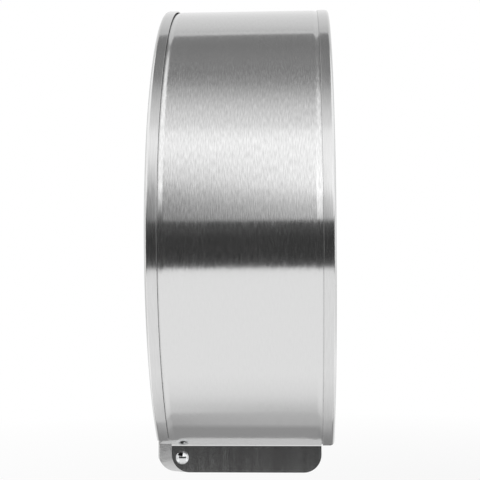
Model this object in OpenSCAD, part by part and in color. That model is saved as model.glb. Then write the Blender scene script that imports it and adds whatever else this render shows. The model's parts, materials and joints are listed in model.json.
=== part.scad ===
// Wall dispenser for a jumbo toilet roll, in brushed stainless steel.
// Origin: on the wall face, on the drum's axis. X is across, Y points to the wall, Z is up.

/* [Drum] */
// Outer radius of the rear flange
body_r = 160; // [150:1:175]
// Depth from the wall to the front face of the closed cover
body_depth = 108; // [100:1:130]
// Thickness of the steel sheet
sheet = 0.8; // [0.6:0.1:1]
// Depth of the rear flange
rear_flange_depth = 6; // [4:0.5:10]
// Half width of the paper mouth over its side panels
mouth_half_w = 100.8; // [92:0.1:105]
// Height of the side panels below the band's bend
panel_h = 16.8; // [15:0.1:25]
// Rear edge of the side panels, from the wall
panel_rear_gap = 7.8; // [6:0.1:12]
// Front edge of the side panels, behind the cover's front face
panel_front_gap = 8.4; // [8:0.1:10]
// Radius of the panels' lower corners
panel_corner_r = 11; // [5:0.5:12]
// Front edge of the band, behind the cover's sheet
band_front_gap = 0.9; // [0.5:0.1:2]

/* [Wall holes] */
// Distance between the wall holes, both ways
wall_hole_spacing = 140; // [120:1:160]
// Diameter of the wall holes
wall_hole_d = 6.5; // [5:0.1:8]

/* [Front cover] */
// Running gap between the band and the cover's flange
cover_gap = 0.7; // [0.5:0.1:1.5]
// Depth of the cover's flange
cover_flange_depth = 6.5; // [5:0.5:9]
// Height of the cover's foot below the band's bend
foot_h = 8.8; // [8:0.1:12]
// End of the cover's flange above the band's bend
flange_lift = 2.3; // [1.5:0.1:4]
// Height of the gap between the flange's end and the ear
notch_h = 1.5; // [1:0.1:3]

/* [Hinge] */
// Hinge axis, behind the cover's front face
hinge_setback = 15; // [14:0.5:18]
// Hinge axis, above the panels' lower edge
hinge_rise = 9; // [8.5:0.5:12]
// Ear's lower edge, above the panels' lower edge
ear_lift = 0.4; // [0.2:0.1:3]
// Radius of the ear's front corner
ear_corner_r = 11; // [5:0.5:12]
// Diameter of the hinge rivets' shanks
hinge_shank_d = 4; // [3:0.1:5]
// Diameter of the rivets' domed heads
hinge_head_d = 8.3; // [7:0.1:10]
// Height of the domed heads
hinge_head_h = 2.2; // [1.5:0.1:3]
// Thickness of the rivets' tails
hinge_tail_h = 1.2; // [0.8:0.1:2]
// Diameter of the rivets' tails
hinge_tail_d = 7; // [6:0.5:8]
// Diameter of the nylon washers
hinge_washer_d = 10; // [8:0.5:12]
// Thickness of the nylon washers
hinge_washer_t = 0.5; // [0.4:0.1:0.8]
// Gap on each side of an ear
ear_side_gap = 0.1; // [0.05:0.05:0.2]
// Radial clearance of a running fit
running_fit = 0.05; // [0.03:0.01:0.1]

/* [Tear strips] */
// Front end of a tear strip, behind the cover's front face
tear_front_gap = 30; // [28:1:60]
// Rear end of a tear strip, from the wall
tear_rear_gap = 19; // [18:1:30]
// Height of a tear strip
tear_height = 12; // [8:0.5:14]
// Reach of a tear strip's teeth into the mouth
tear_reach = 8; // [6:0.5:12]
// Lower face of a tear strip, above the panels' lower edge
tear_rise = 0.8; // [0.5:0.1:3]
// Distance from tooth to tooth
tooth_pitch = 3; // [2:0.5:6]
// Depth of the teeth
tooth_depth = 2; // [1:0.5:4]

/* [Spindle] */
// Diameter of the post
post_d = 12; // [10:1:16]
// Diameter of the post's foot plate
spindle_plate_d = 56; // [50:1:58]
// Thickness of the foot plate
spindle_plate_t = 2; // [1.5:0.5:4]
// Pitch circle of the foot plate's rivets
rivet_circle_d = 42; // [38:1:46]
// Diameter of the foot plate's rivets
rivet_d = 4; // [3:0.5:5]
// Diameter of the foot plate's rivet heads
rivet_head_d = 7; // [6:0.5:8]
// Height of the rivet heads
rivet_head_h = 1.6; // [1:0.1:2]

/* [Roll hub] */
// Outer diameter of the hub, inside the roll's core
hub_d = 44; // [38:1:60]
// Wall of the hub's sleeves
hub_wall = 2.2; // [1.6:0.2:4]
// Diameter of the hub's rear flange
hub_flange_d = 60; // [56:1:90]
// Thickness of the hub's rear flange
hub_flange_t = 3; // [2:0.5:5]
// Gap between the rivet heads and the hub's rear flange
rivet_gap = 0.4; // [0.3:0.1:1]
// Thickness of the cap in the hub's front end
hub_cap_t = 3; // [2:0.5:5]
// Number of ribs between the sleeves
hub_ribs = 6; // [3:1:10]
// Thickness of the ribs
hub_rib_t = 1.8; // [1.2:0.2:3]
// End play at each end of the hub
hub_end_play = 0.3; // [0.2:0.1:0.5]
// Front end of the hub, behind the cover's front face
hub_front_gap = 12; // [11:0.5:30]
// Diameter of the hub's washer
hub_washer_d = 24; // [20:1:30]
// Thickness of the hub's washer
hub_washer_t = 1.5; // [1:0.1:2]
// Thread diameter of the hub's screw
hub_screw_d = 5; // [4:0.5:6]
// Head diameter of the hub's screw
hub_screw_head_d = 9; // [8:0.5:12]
// Head height of the hub's screw
hub_screw_head_h = 3; // [2:0.5:4]
// Depth of the screw's hexagon socket
hub_socket_depth = 2; // [1:0.5:2.5]
// Width of the hexagon socket across its corners
hub_socket_d = 4; // [3:0.5:5]
// Length of the screw's thread in the post
hub_screw_reach = 14; // [8:1:20]

/* [Lock] */
// Distance from the cover's rim to the lock's axis
lock_inset = 22.7; // [22:0.1:27]
// Diameter of the lock's barrel
barrel_d = 14; // [12:0.5:16]
// Diameter of the barrel's face flange
barrel_flange_d = 20; // [17:0.5:21]
// Thickness of the face flange
barrel_flange_t = 1.8; // [1:0.1:3]
// Length of the barrel behind the cover's front face
barrel_length = 14; // [12:0.5:15]
// Diameter of the turning plug
plug_d = 9; // [7:0.5:9]
// Diameter of the plug's face
plug_face_d = 12; // [11:0.5:13]
// Depth of the plug's face
plug_face_t = 2; // [1.5:0.1:3]
// Recess of the plug's face in the barrel
plug_recess = 0.2; // [0.1:0.1:0.6]
// Width of the key slot
key_slot_w = 1.8; // [1:0.1:2.5]
// Length of the key slot
key_slot_l = 6.5; // [4:0.5:7]
// Depth of the key slot
key_slot_depth = 8; // [5:0.5:10]
// Side of the square on the plug's end
cam_square = 5; // [4:0.5:6]
// Thickness of the cam
cam_t = 1.6; // [1:0.1:2]
// Width of the cam
cam_w = 10; // [8:0.5:11]
// Length of the cam from the lock's axis
cam_length = 16; // [15:0.5:17]
// Thread diameter of the cam's screw
cam_screw_d = 3; // [2:0.5:4]
// Head diameter of the cam's screw
cam_screw_head_d = 6; // [5:0.5:7]
// Head height of the cam's screw
cam_screw_head_h = 1.8; // [1:0.1:3]
// Length of the cam screw's thread in the plug
cam_screw_reach = 5; // [3:0.5:6]
// Diameter of the washer under the nut
lock_washer_d = 20; // [18:0.5:22]
// Thickness of that washer
lock_washer_t = 1; // [0.6:0.1:1.5]
// Distance across the nut's corners
nut_corner_d = 21; // [18:0.5:23]
// Thickness of the nut
nut_t = 4; // [3:0.5:5]
// Thickness of the strike's leg
strike_t = 1.2; // [1:0.1:2]
// Distance from the barrel's end to the back of the strike's leg
strike_setback = 2.5; // [2:0.5:4]
// Width of the strike
strike_w = 26; // [20:1:40]
// Depth of the strike's foot on the band
strike_foot = 16; // [10:1:25]
// Overlap of the locked cam and the strike's leg
strike_bite = 6; // [4:0.5:7]
// Gap between the strike's leg and the cam behind it
strike_gap = 1; // [0.6:0.1:1.5]

/* [Level slot] */
// Width of the slot in the cover
slot_w = 12; // [8:1:20]
// Length of the slot
slot_l = 90; // [60:1:95]
// Distance from the cover's rim to the slot's outer end
slot_inset = 25.7; // [20:0.1:30]
// Thickness of the clear pane
pane_t = 1.5; // [1:0.1:2]
// Border of the pane around the slot
pane_border = 4; // [3:0.5:6]
// Width of the retainer around the pane
retainer_w = 4; // [3:0.5:6]
// Thickness of the lip behind the pane
retainer_lip_t = 1.2; // [0.8:0.1:2]
// Reach of the lip over the pane
retainer_lip = 2; // [1:0.5:3]

/* [Hidden] */
$fn = 96;

// cut-through allowance for holes
past = 1;
left = -1;
right = 1;

// drum
band_r = body_r - sheet;
band_bore_r = band_r - sheet;
junction_z = -sqrt(band_r * band_r - mouth_half_w * mouth_half_w);
plate_front = -body_depth + sheet;
band_front = plate_front + band_front_gap;
panel_z = junction_z - panel_h;
band_end_z = junction_z + sheet;
panel_front = -body_depth + panel_front_gap;
panel_rear = -panel_rear_gap;
panel_inner = mouth_half_w - sheet;

// cover and hinge
cover_bore_r = band_r + cover_gap;
cover_r = cover_bore_r + sheet;
flange_end_z = junction_z + flange_lift;
ear_top = flange_end_z - notch_h;
foot_z = junction_z - foot_h;
hinge_y = -body_depth + hinge_setback;
hinge_z = panel_z + hinge_rise;
ear_bottom = panel_z + ear_lift;
ear_outer = panel_inner - hinge_washer_t - ear_side_gap;
ear_inner = ear_outer - sheet;
ear_r = hinge_z - ear_bottom;
tail_outer = ear_inner - ear_side_gap;

// spindle and hub
spindle_face = -sheet - spindle_plate_t;
hub_rear = spindle_face - hub_end_play;
hub_front = -body_depth + hub_front_gap;
hub_flange_rear = spindle_face - rivet_head_h - rivet_gap;
hub_flange_mid = hub_flange_rear - hub_flange_t / 2;
post_end = hub_front - hub_end_play;
hub_bore_r = post_d / 2 + running_fit;

// lock
lock_height = cover_r - lock_inset;
barrel_rear = -body_depth + barrel_length;
strike_rear = barrel_rear + strike_setback;
cam_front = strike_rear + strike_gap;
cam_rear = cam_front + cam_t;
strike_bottom = lock_height + cam_length - strike_bite;
washer_rear = plate_front + lock_washer_t;

// level slot
slot_x = cover_r - slot_inset - slot_l / 2;
pane_rear = plate_front + pane_t;

// a round bar along Y, from y0 to y1
module bar_y(d, y0, y1) {
    translate([0, y1, 0]) rotate([90, 0, 0]) cylinder(d = d, h = y1 - y0);
}

// a flat shape of the XZ plane given depth from y0 to y1
module slab_y(y0, y1) {
    translate([0, y1, 0]) rotate([90, 0, 0]) linear_extrude(height = y1 - y0) children();
}

// a round bar along X, from x0 to x1 on side s
module bar_x(d, x0, x1, s) {
    translate([min(s * x0, s * x1), 0, 0]) rotate([0, 90, 0]) cylinder(d = d, h = x1 - x0);
}

// a box from its lowest corner to its highest
module box(a, b) {
    translate(a) cube(b - a);
}

// the outline of a slot along X, with round ends
module stadium(l, w) {
    square([l - w, w], center = true);
    for (s = [left, right]) translate([s * (l - w) / 2, 0]) circle(d = w);
}

// the disc of radius r above the level z
module cut_disc(r, z) {
    difference() {
        circle(r = r, $fn = 360);
        translate([-r - past, -r - past]) square([2 * (r + past), r + past + z]);
    }
}

module at_hinge() {
    translate([0, hinge_y, hinge_z]) children();
}

module at_lock() {
    translate([0, 0, lock_height]) children();
}

module wall_holes(d) {
    for (x = [left, right], z = [left, right])
        translate([x * wall_hole_spacing / 2, 0, z * wall_hole_spacing / 2])
            bar_y(d, -sheet - past, past);
}

module spindle_rivet_places() {
    for (a = [45 : 90 : 315]) rotate([0, a, 0]) translate([rivet_circle_d / 2, 0, 0]) children();
}

// rear disc, cut flat at the mouth, with its flange around the band
module back_plate() {
    color("silver") difference() {
        union() {
            slab_y(-sheet, 0) cut_disc(body_r, junction_z);
            slab_y(-rear_flange_depth, 0) difference() {
                cut_disc(body_r, junction_z);
                circle(r = band_r, $fn = 360);
            }
        }
        wall_holes(wall_hole_d);
        spindle_rivet_places() bar_y(rivet_d, -sheet - past, past);
    }
}

// the band's outline seen from the front, with the mouth's sides below: outside, then inside
module band_outside() {
    cut_disc(band_r, junction_z);
    translate([-mouth_half_w, panel_z]) square([2 * mouth_half_w, -panel_z]);
}

module band_inside() {
    cut_disc(band_bore_r, -sqrt(band_bore_r * band_bore_r - panel_inner * panel_inner));
    translate([-panel_inner, panel_z - past]) square([2 * panel_inner, -panel_z]);
}

// what is cut off the lower corner of both panels, at the end e of their length
module corner_cut(e) {
    edge_y = e < 0 ? panel_front : panel_rear;
    centre_y = edge_y - e * panel_corner_r;
    centre_z = panel_z + panel_corner_r;
    difference() {
        box([-body_r, min(edge_y + e * past, centre_y), panel_z - past],
            [body_r, max(edge_y + e * past, centre_y), centre_z]);
        translate([-body_r - past, centre_y, centre_z])
            rotate([0, 90, 0]) cylinder(r = panel_corner_r, h = 2 * (body_r + past));
    }
}

// the rolled strip, bent down at its ends into the two side panels of the mouth
module drum_band() {
    color("gainsboro") difference() {
        slab_y(band_front, -sheet) band_outside();
        slab_y(band_front - past, -sheet + past) band_inside();
        box([-body_r, band_front - past, panel_z - past], [body_r, panel_front, band_end_z]);
        box([-body_r, panel_rear, panel_z - past], [body_r, past, band_end_z]);
        for (e = [left, right]) corner_cut(e);
        for (s = [left, right])
            at_hinge() bar_x(hinge_shank_d, panel_inner - past, mouth_half_w + past, s);
    }
}

// the front disc with its foot, seen from the front
module cover_outline() {
    cut_disc(cover_r, flange_end_z);
    translate([-ear_outer, foot_z]) square([2 * ear_outer, -foot_z]);
}

// the ear: a strip bent back from the foot's side, flat inside the panel
module ear() {
    front = -body_depth;
    corner_z = ear_bottom + ear_corner_r;
    difference() {
        union() {
            box([ear_inner, front, corner_z], [ear_outer, hinge_y, ear_top]);
            box([ear_inner, front + ear_corner_r, ear_bottom], [ear_outer, hinge_y, corner_z]);
            translate([ear_inner, front + ear_corner_r, corner_z])
                rotate([0, 90, 0]) cylinder(r = ear_corner_r, h = sheet);
            at_hinge() bar_x(2 * ear_r, ear_inner, ear_outer, right);
        }
        at_hinge() bar_x(hinge_shank_d + 2 * running_fit, ear_inner - past, ear_outer + past, right);
    }
}

// the cover: front disc, flange outside the band, foot with two ears, holes for lock and slot
module front_cover() {
    color("silver") difference() {
        union() {
            slab_y(-body_depth, plate_front) cover_outline();
            slab_y(-body_depth, -body_depth + cover_flange_depth) difference() {
                cut_disc(cover_r, flange_end_z);
                circle(r = cover_bore_r, $fn = 360);
            }
            ear();
            mirror([1, 0, 0]) ear();
        }
        at_lock() bar_y(barrel_d, -body_depth - past, plate_front + past);
        slab_y(-body_depth - past, plate_front + past) translate([slot_x, 0]) stadium(slot_l, slot_w);
    }
}

// domed rivet: head outside the panel, shank through panel, washer and ear, flat tail inside
module hinge_rivet(s) {
    dome_r = (hinge_head_d * hinge_head_d / 4 + hinge_head_h * hinge_head_h) / (2 * hinge_head_h);
    color("white") at_hinge() union() {
        rotate([0, s * 90, 0]) translate([0, 0, mouth_half_w]) rotate_extrude() intersection() {
            translate([0, hinge_head_h - dome_r]) circle(r = dome_r);
            square([hinge_head_d / 2, hinge_head_h]);
        }
        bar_x(hinge_shank_d, tail_outer - hinge_tail_h, mouth_half_w, s);
        bar_x(hinge_tail_d, tail_outer - hinge_tail_h, tail_outer, s);
    }
}

// nylon washer between the panel and the ear
module hinge_washer(s) {
    color("ivory") at_hinge() difference() {
        bar_x(hinge_washer_d, panel_inner - hinge_washer_t, panel_inner, s);
        bar_x(hinge_shank_d, panel_inner - hinge_washer_t - past, panel_inner + past, s);
    }
}

// angle strip welded inside a panel, with teeth along the edge of the mouth
module tear_strip() {
    front = -body_depth + tear_front_gap;
    rear = -tear_rear_gap;
    low = panel_z + tear_rise;
    edge = panel_inner - tear_reach;
    teeth = floor((rear - front) / tooth_pitch);
    color("lightgray") union() {
        box([panel_inner - sheet, front, low], [panel_inner, rear, low + tear_height]);
        translate([0, 0, low]) linear_extrude(height = sheet) polygon(concat(
            [[panel_inner, rear], [panel_inner, front], [edge + tooth_depth, front]],
            [for (i = [0 : teeth - 1], k = [0, 1])
                [edge + (1 - k) * tooth_depth, front + (i + k / 2) * tooth_pitch]],
            [[edge + tooth_depth, front + teeth * tooth_pitch], [edge + tooth_depth, rear]]
        ));
    }
}

// round foot plate of the post, against the back plate
module spindle_flange() {
    color("gray") difference() {
        bar_y(spindle_plate_d, spindle_face, -sheet);
        bar_y(post_d, spindle_face - past, -sheet + past);
        spindle_rivet_places() bar_y(rivet_d, spindle_face - past, -sheet + past);
    }
}

// steel post that carries the hub, bored for the hub's screw
module spindle_post() {
    color("lightgray") difference() {
        bar_y(post_d, post_end, -sheet);
        bar_y(hub_screw_d, post_end - past, post_end + hub_screw_reach);
    }
}

// rivets through the foot plate and the back plate, flush with the wall
module spindle_rivets() {
    color("lightgray") spindle_rivet_places() union() {
        bar_y(rivet_d, spindle_face, 0);
        bar_y(rivet_head_d, spindle_face - rivet_head_h, spindle_face);
    }
}

// plastic hub: two sleeves joined by ribs, with a flange behind the roll
module roll_hub() {
    inner_sleeve_d = 2 * (hub_bore_r + hub_wall);
    color("dimgray") difference() {
        union() {
            difference() {
                bar_y(hub_d, hub_front, hub_flange_mid);
                bar_y(hub_d - 2 * hub_wall, hub_front - past, hub_flange_mid + past);
            }
            bar_y(inner_sleeve_d, hub_front, hub_rear);
            for (i = [0 : hub_ribs - 1]) rotate([0, i * 360 / hub_ribs, 0])
                box([hub_bore_r + hub_wall / 2, hub_front + hub_cap_t, -hub_rib_t / 2],
                    [hub_d / 2 - hub_wall / 2, hub_flange_mid, hub_rib_t / 2]);
            bar_y(hub_flange_d, hub_flange_rear - hub_flange_t, hub_flange_rear);
        }
        bar_y(2 * hub_bore_r, hub_front - past, hub_rear + past);
    }
}

// ring that closes the hub's front end between its sleeves
module hub_cap() {
    color("dimgray") difference() {
        bar_y(hub_d - 2 * hub_wall, hub_front, hub_front + hub_cap_t);
        bar_y(2 * (hub_bore_r + hub_wall), hub_front - past, hub_front + hub_cap_t + past);
    }
}

// washer that keeps the hub on the post
module hub_washer() {
    color("silver") difference() {
        bar_y(hub_washer_d, post_end - hub_washer_t, post_end);
        bar_y(hub_screw_d, post_end - hub_washer_t - past, post_end + past);
    }
}

// screw into the post's end
module hub_screw() {
    head_rear = post_end - hub_washer_t;
    color("silver") difference() {
        union() {
            bar_y(hub_screw_head_d, head_rear - hub_screw_head_h, head_rear);
            bar_y(hub_screw_d, head_rear, post_end + hub_screw_reach);
        }
        translate([0, head_rear - hub_screw_head_h + hub_socket_depth, 0]) rotate([90, 30, 0])
            cylinder(d = hub_socket_d, h = hub_socket_depth + past, $fn = 6);
    }
}

// fixed body of the lock, through the cover
module lock_barrel() {
    color("gainsboro") at_lock() difference() {
        union() {
            bar_y(barrel_flange_d, -body_depth - barrel_flange_t, -body_depth);
            bar_y(barrel_d, -body_depth, barrel_rear);
        }
        bar_y(plug_d + 2 * running_fit, -body_depth, barrel_rear + past);
        bar_y(plug_face_d + 2 * running_fit, -body_depth - barrel_flange_t - past,
            -body_depth - barrel_flange_t + plug_face_t);
    }
}

// turning plug with its key slot and the square for the cam
module lock_plug() {
    face = -body_depth - barrel_flange_t + plug_recess;
    color("lightgray") at_lock() difference() {
        union() {
            bar_y(plug_face_d, face, -body_depth - barrel_flange_t + plug_face_t - ear_side_gap);
            bar_y(plug_d, face, cam_front);
            box([-cam_square / 2, cam_front, -cam_square / 2], [cam_square / 2, cam_rear, cam_square / 2]);
        }
        box([-key_slot_w / 2, face - past, -key_slot_l / 2],
            [key_slot_w / 2, face + key_slot_depth, key_slot_l / 2]);
        bar_y(cam_screw_d, cam_rear - cam_screw_reach, cam_rear + past);
    }
}

// cam on the plug, turned to the left when the lock is open
module lock_cam() {
    tip = cam_length - cam_w / 2;
    color("gray") at_lock() difference() {
        slab_y(cam_front, cam_rear) union() {
            circle(d = cam_w);
            translate([-tip, -cam_w / 2]) square([tip, cam_w]);
            translate([-tip, 0]) circle(d = cam_w);
        }
        box([-cam_square / 2, cam_front - past, -cam_square / 2],
            [cam_square / 2, cam_rear + past, cam_square / 2]);
    }
}

// screw that holds the cam on the plug
module lock_cam_screw() {
    color("lightgray") at_lock() union() {
        bar_y(cam_screw_head_d, cam_rear, cam_rear + cam_screw_head_h);
        bar_y(cam_screw_d, cam_rear - cam_screw_reach, cam_rear);
    }
}

// washer under the lock's nut
module lock_washer() {
    color("silver") at_lock() difference() {
        bar_y(lock_washer_d, plate_front, washer_rear);
        bar_y(barrel_d, plate_front - past, washer_rear + past);
    }
}

// nut that clamps the barrel to the cover
module lock_nut() {
    color("silver") at_lock() difference() {
        translate([0, washer_rear + nut_t, 0]) rotate([90, 0, 0])
            cylinder(d = nut_corner_d, h = nut_t, $fn = 6);
        bar_y(barrel_d, washer_rear - past, washer_rear + nut_t + past);
    }
}

// bracket welded under the top of the band, whose leg the locked cam stands behind
module lock_strike() {
    leg_front = strike_rear - strike_t;
    color("lightgray") intersection() {
        union() {
            box([-strike_w / 2, leg_front, strike_bottom], [strike_w / 2, strike_rear, band_r]);
            slab_y(leg_front, leg_front + strike_foot) difference() {
                translate([-strike_w / 2, 0]) square([strike_w, band_r]);
                circle(r = band_bore_r - strike_t, $fn = 360);
            }
        }
        bar_y(2 * band_bore_r, leg_front - past, leg_front + strike_foot + past, $fn = 360);
    }
}

// clear pane behind the level slot
module window_pane() {
    color("lightblue") slab_y(plate_front, pane_rear) translate([slot_x, 0])
        stadium(slot_l + 2 * pane_border, slot_w + 2 * pane_border);
}

// plastic ring that holds the pane against the cover
module window_retainer() {
    pane_l = slot_l + 2 * pane_border;
    pane_w = slot_w + 2 * pane_border;
    color("dimgray") translate([slot_x, 0, 0]) difference() {
        slab_y(plate_front, pane_rear + retainer_lip_t)
            stadium(pane_l + 2 * retainer_w, pane_w + 2 * retainer_w);
        slab_y(plate_front - past, pane_rear) stadium(pane_l, pane_w);
        slab_y(plate_front - past, pane_rear + retainer_lip_t + past)
            stadium(pane_l - 2 * retainer_lip, pane_w - 2 * retainer_lip);
    }
}

back_plate();
drum_band();
front_cover();
hinge_rivet(left);  // hinge_rivet_left
hinge_rivet(right);  // hinge_rivet_right
hinge_washer(left);  // hinge_washer_left
hinge_washer(right);  // hinge_washer_right
mirror([1, 0, 0]) tear_strip();  // tear_strip_left
tear_strip();  // tear_strip_right
spindle_flange();
spindle_post();
spindle_rivets();
roll_hub();
hub_cap();
hub_washer();
hub_screw();
lock_barrel();
lock_plug();
lock_cam();
lock_cam_screw();
lock_washer();
lock_nut();
lock_strike();
window_pane();
window_retainer();
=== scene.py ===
"""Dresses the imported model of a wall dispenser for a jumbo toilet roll.

Run as a script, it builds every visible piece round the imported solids, then the studio.
Lengths are in metres, X is across, Y points to the wall and Z is up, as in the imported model.
"""

import json
import math

import bmesh
import bpy
from mathutils import Matrix, Vector

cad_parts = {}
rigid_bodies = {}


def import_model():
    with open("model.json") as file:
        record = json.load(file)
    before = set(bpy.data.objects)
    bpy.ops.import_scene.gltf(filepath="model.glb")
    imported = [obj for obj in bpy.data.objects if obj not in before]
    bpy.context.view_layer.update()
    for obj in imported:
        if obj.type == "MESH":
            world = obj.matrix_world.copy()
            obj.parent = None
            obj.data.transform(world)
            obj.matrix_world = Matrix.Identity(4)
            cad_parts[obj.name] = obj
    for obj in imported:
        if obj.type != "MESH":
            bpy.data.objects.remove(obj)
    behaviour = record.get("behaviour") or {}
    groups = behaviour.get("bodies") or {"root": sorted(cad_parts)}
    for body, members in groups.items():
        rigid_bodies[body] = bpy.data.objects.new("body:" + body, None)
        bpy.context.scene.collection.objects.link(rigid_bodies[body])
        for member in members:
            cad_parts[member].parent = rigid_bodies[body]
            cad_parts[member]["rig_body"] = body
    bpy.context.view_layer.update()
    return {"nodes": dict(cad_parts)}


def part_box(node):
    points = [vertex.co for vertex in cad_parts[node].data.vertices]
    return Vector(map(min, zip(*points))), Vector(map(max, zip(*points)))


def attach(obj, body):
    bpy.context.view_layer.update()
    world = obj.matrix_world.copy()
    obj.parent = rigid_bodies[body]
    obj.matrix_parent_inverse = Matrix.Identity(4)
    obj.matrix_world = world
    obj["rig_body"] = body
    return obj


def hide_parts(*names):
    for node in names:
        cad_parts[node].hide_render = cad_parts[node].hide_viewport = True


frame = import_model()

bl_info = {
    "name": "Jumbo roll dispenser",
    "version": (1, 0, 0),
    "blender": (4, 5, 0),
    "location": "3D View > Sidebar > Dispenser",
    "description": "Builds the visible pieces of a round steel roll dispenser and its studio",
    "category": "Add Mesh",
}

MM = 0.001
MERGE = 1e-6  # vertices nearer than this are one
TOUCH = 1e-7  # places nearer than this are the same
CUT_REACH = 1e-8
HALF_TURN = math.pi
QUARTER_TURN = math.pi / 2
FULL_TURN = 2 * math.pi
X_AXIS = Vector((1, 0, 0))
Y_AXIS = Vector((0, 1, 0))
Z_AXIS = Vector((0, 0, 1))
DRUM_AXIS = -Y_AXIS  # turning about it carries X to Z
GRAIN = "grain"  # the UV map: u across the brushing, v along it, both in metres

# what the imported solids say, so that the dressed pieces follow them
BACK_LOW, BACK_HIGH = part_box("back_plate")
BAND_LOW, BAND_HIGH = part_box("drum_band")
COVER_LOW, COVER_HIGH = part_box("front_cover")
RIVET_LOW, RIVET_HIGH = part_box("hinge_rivet_right")
HUB_LOW, HUB_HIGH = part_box("roll_hub")
CAP_LOW, CAP_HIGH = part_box("hub_cap")
BARREL_LOW, BARREL_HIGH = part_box("lock_barrel")
PLUG_LOW, PLUG_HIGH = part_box("lock_plug")
WINDOW_LOW, WINDOW_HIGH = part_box("window_pane")
HINGE = Vector((0, (RIVET_LOW.y + RIVET_HIGH.y) / 2, (RIVET_LOW.z + RIVET_HIGH.z) / 2))
LOCK = Vector((0, 0, (BARREL_LOW.z + BARREL_HIGH.z) / 2))
INSIDE = (0, -50 * MM, 0)  # a point inside both dishes of the housing
PANEL_FOOT = 8 * MM  # the part of a side panel, from its lower edge, that is surely flat
PANEL_FACE = max(
    vert.co.x for vert in frame["nodes"]["drum_band"].data.vertices if vert.co.z < BAND_LOW.z + PANEL_FOOT
)

# how the band leaves its round below the side: it eases in, then runs flat to the bend
BAND_EASE = math.radians(34)
BAND_FLAT = math.radians(43.4)
BAND_DIP = -0.2 * MM
EAR_REACH = 100 * MM  # the cover's ears lie within this of the middle
EAR_RISE = 1 * MM  # and their fold ends below this height above the bend
END_REACH = 6 * MM  # how far above the band's ends its faces are trimmed
UPRIGHT = 1 * MM  # a panel's edge that rises more than this is upright

# how finely round shapes are divided
BAND_STEPS = 320
RIM_STEPS = 360
HUB_STEPS = 96
TURNED_STEPS = 64
HOLE_STEPS = 32
WALL_HOLE_STEPS = 40
SLOT_STEPS = 48
EAR_STEPS = 28
EAR_CORNER_STEPS = 10
DOME_STEPS = 12
FOLD_STEPS = 5
COVER_FOLD_STEPS = 6
BEND_STEPS = 8
CORNER_STEPS = 12
SHARP = math.radians(38)  # edges sharper than this are rounded or kept crisp
FLAT = math.radians(1)  # faces that meet at less than this are one flat


def colour_property(name, description, default):
    """A colour that the user may change, written as an sRGB hex value."""
    return bpy.props.StringProperty(name=name, description=description, default=default)


def length_property(name, description, default, low, high):
    """A length, given in millimetres."""
    return bpy.props.FloatProperty(
        name=name,
        description=description,
        default=default * MM,
        min=low * MM,
        max=high * MM,
        unit="LENGTH",
        precision=5,
    )


def angle_property(name, description, degrees, low=-10, high=10):
    """An angle, given in degrees."""
    return bpy.props.FloatProperty(
        name=name,
        description=description,
        default=math.radians(degrees),
        min=math.radians(low),
        max=math.radians(high),
        unit="ROTATION",
    )


class SheetSizes(bpy.types.PropertyGroup):
    """Sizes of the folded sheet metal."""

    thickness: length_property("Sheet", "Thickness of the steel sheet", 0.8, 0.6, 1)
    edge: length_property("Edge", "Rounding of a cut sheet edge", 0.15, 0.05, 0.3)
    bend: length_property("Bend", "Outer radius of the bend above the panels", 1.2, 0.8, 2)
    cover_fold: length_property("Cover fold", "Outer radius of the cover's rim", 2.2, 0.9, 2.5)
    back_fold: length_property("Back fold", "Outer radius of the back's rim", 2, 0.9, 2.5)
    ear_fold: length_property("Ear fold", "Outer radius of the fold at the ears", 1.2, 0.9, 2)
    panel_corner: length_property("Panel corner", "Radius of the panels' lower corners", 11, 5, 12)
    panel_front: length_property("Panel front", "Panels' front edge from the wall", 99.6, 90, 104)
    panel_rear: length_property("Panel rear", "Panels' rear edge from the wall", 7.8, 6, 12)
    bulge: length_property("Bulge", "Rise of the band between the rims", 0.55, 0, 1.5)
    joggle: length_property("Joggle", "Width of the step beside a rim", 4, 2.5, 6)
    lean: angle_property("Lean", "Outward lean of the side panels", 1.6, 0, 2)


class CoverSizes(bpy.types.PropertyGroup):
    """Sizes of the hinged cover."""

    flange_depth: length_property("Flange", "Depth of the cover's rim", 7.3, 5, 9)
    flange_lift: length_property("Flange end", "End of the rim above the bend", 3.6, 1, 4)
    ear_lift: length_property("Ear top", "Top of the ear above the bend", 1.3, 0.5, 3)
    notch: length_property("Notch", "Gap between the rim's end and the ear", 1, 0.8, 3)
    foot: length_property("Foot", "Height of the foot below the bend", 8.8, 8, 12)
    foot_half_width: length_property("Foot half width", "Outer face of an ear", 99.4, 90, 100)
    ear_corner: length_property("Ear corner", "Radius of an ear's front corner", 11, 5, 12)
    slot_width: length_property("Slot width", "Width of the level slot", 12, 8, 20)
    slot_length: length_property("Slot length", "Length of the level slot", 90, 60, 95)
    lock_hole: length_property("Lock hole", "Diameter of the lock's hole", 14.2, 12, 17)
    ear_hole: length_property("Ear hole", "Diameter of an ear's rivet hole", 4.1, 3.6, 5)


class BackSizes(bpy.types.PropertyGroup):
    """Sizes of the back plate."""

    flange_depth: length_property("Flange", "Depth of the back's rim", 7.2, 4, 10)
    flange_corner: length_property("Flange corner", "Rounding at the rim's ends", 3, 1, 5)
    wall_hole: length_property("Wall hole", "Diameter of the wall holes", 6.5, 5, 8)
    wall_spacing: length_property("Wall spacing", "Distance between wall holes", 140, 120, 160)
    rivet_circle: length_property("Rivet circle", "Pitch circle of the rivets", 42, 38, 46)
    rivet_hole: length_property("Rivet hole", "Diameter of the rivet holes", 4.24, 3, 5.5)


class HingeSizes(bpy.types.PropertyGroup):
    """Sizes of the domed hinge rivets."""

    head: length_property("Head", "Diameter of a domed head", 8.3, 7, 10)
    shank: length_property("Shank", "Diameter of the shank", 4, 3, 5)
    tail: length_property("Tail", "Diameter of the tail", 7, 6, 8)
    tail_height: length_property("Tail height", "Thickness of the tail", 1.2, 0.8, 2)


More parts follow.
